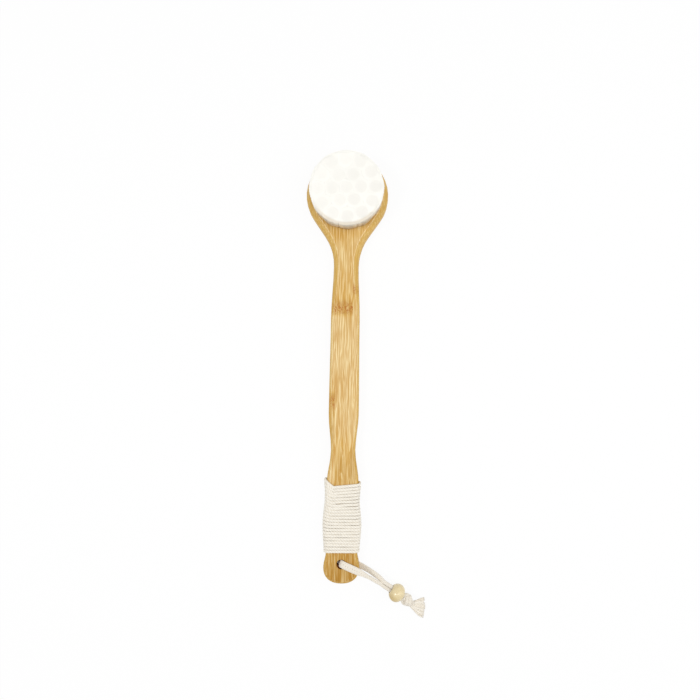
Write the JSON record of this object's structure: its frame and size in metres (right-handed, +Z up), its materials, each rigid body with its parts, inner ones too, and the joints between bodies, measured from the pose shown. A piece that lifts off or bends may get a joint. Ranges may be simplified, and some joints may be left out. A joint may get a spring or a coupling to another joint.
{
  "type": "body dry brush",
  "caption": "Long-handled body dry brush: round bamboo head with soft white bristle tufts, corded grip, hanging loop with bead, knot and frayed ends.",
  "frame": {"origin": "on the resting plane, under the middle of the board's length and width", "axes": "+Y along the handle towards the head, +Z up through the bristles, +X to the right as the bristles face the viewer"},
  "size_m": [0.1229, 0.4553, 0.0333],
  "materials": {
    "bamboo": "sanded bamboo, thin satin lacquer",
    "bristle": "dense superfine bristle",
    "anchor": "flat wire",
    "wound_cord": "twisted cotton cord",
    "flat_cord": "flat braided cotton cord",
    "bead_wood": "pale wood, polished lacquer"
  },
  "bodies": {
    "brush": {"strip_left_edge": "bamboo", "strip_left": "bamboo", "strip_centre": "bamboo", "strip_right": "bamboo", "strip_right_edge": "bamboo", "tuft_centre": "bristle", "tuft_inner_1": "bristle", "tuft_inner_2": "bristle", "tuft_inner_3": "bristle", "tuft_inner_4": "bristle", "tuft_inner_5": "bristle", "tuft_inner_6": "bristle", "tuft_outer_1": "bristle", "tuft_outer_2": "bristle", "tuft_outer_3": "bristle", "tuft_outer_4": "bristle", "tuft_outer_5": "bristle", "tuft_outer_6": "bristle", "tuft_outer_7": "bristle", "tuft_outer_8": "bristle", "tuft_outer_9": "bristle", "tuft_outer_10": "bristle", "tuft_outer_11": "bristle", "tuft_outer_12": "bristle", "tuft_anchors": "anchor", "grip_wrap": "wound_cord"},
    "hang_loop": {"hanging_cord": "flat_cord", "knot": "flat_cord", "frayed_ends": "flat_cord"},
    "bead": {"bead": "bead_wood"}
  },
  "joints": [
    {"name": "loop_swing", "type": "hinge", "parent": "brush", "child": "hang_loop", "pos_m": [0, -0.1905, 0.008], "axis": [0, 0, 1], "range_deg": [-150, 15]},
    {"name": "bead_slide", "type": "slide", "parent": "hang_loop", "child": "bead", "axis": [-0.8387, 0.5446, 0], "range_m": [0, 0.008]}
  ]
}
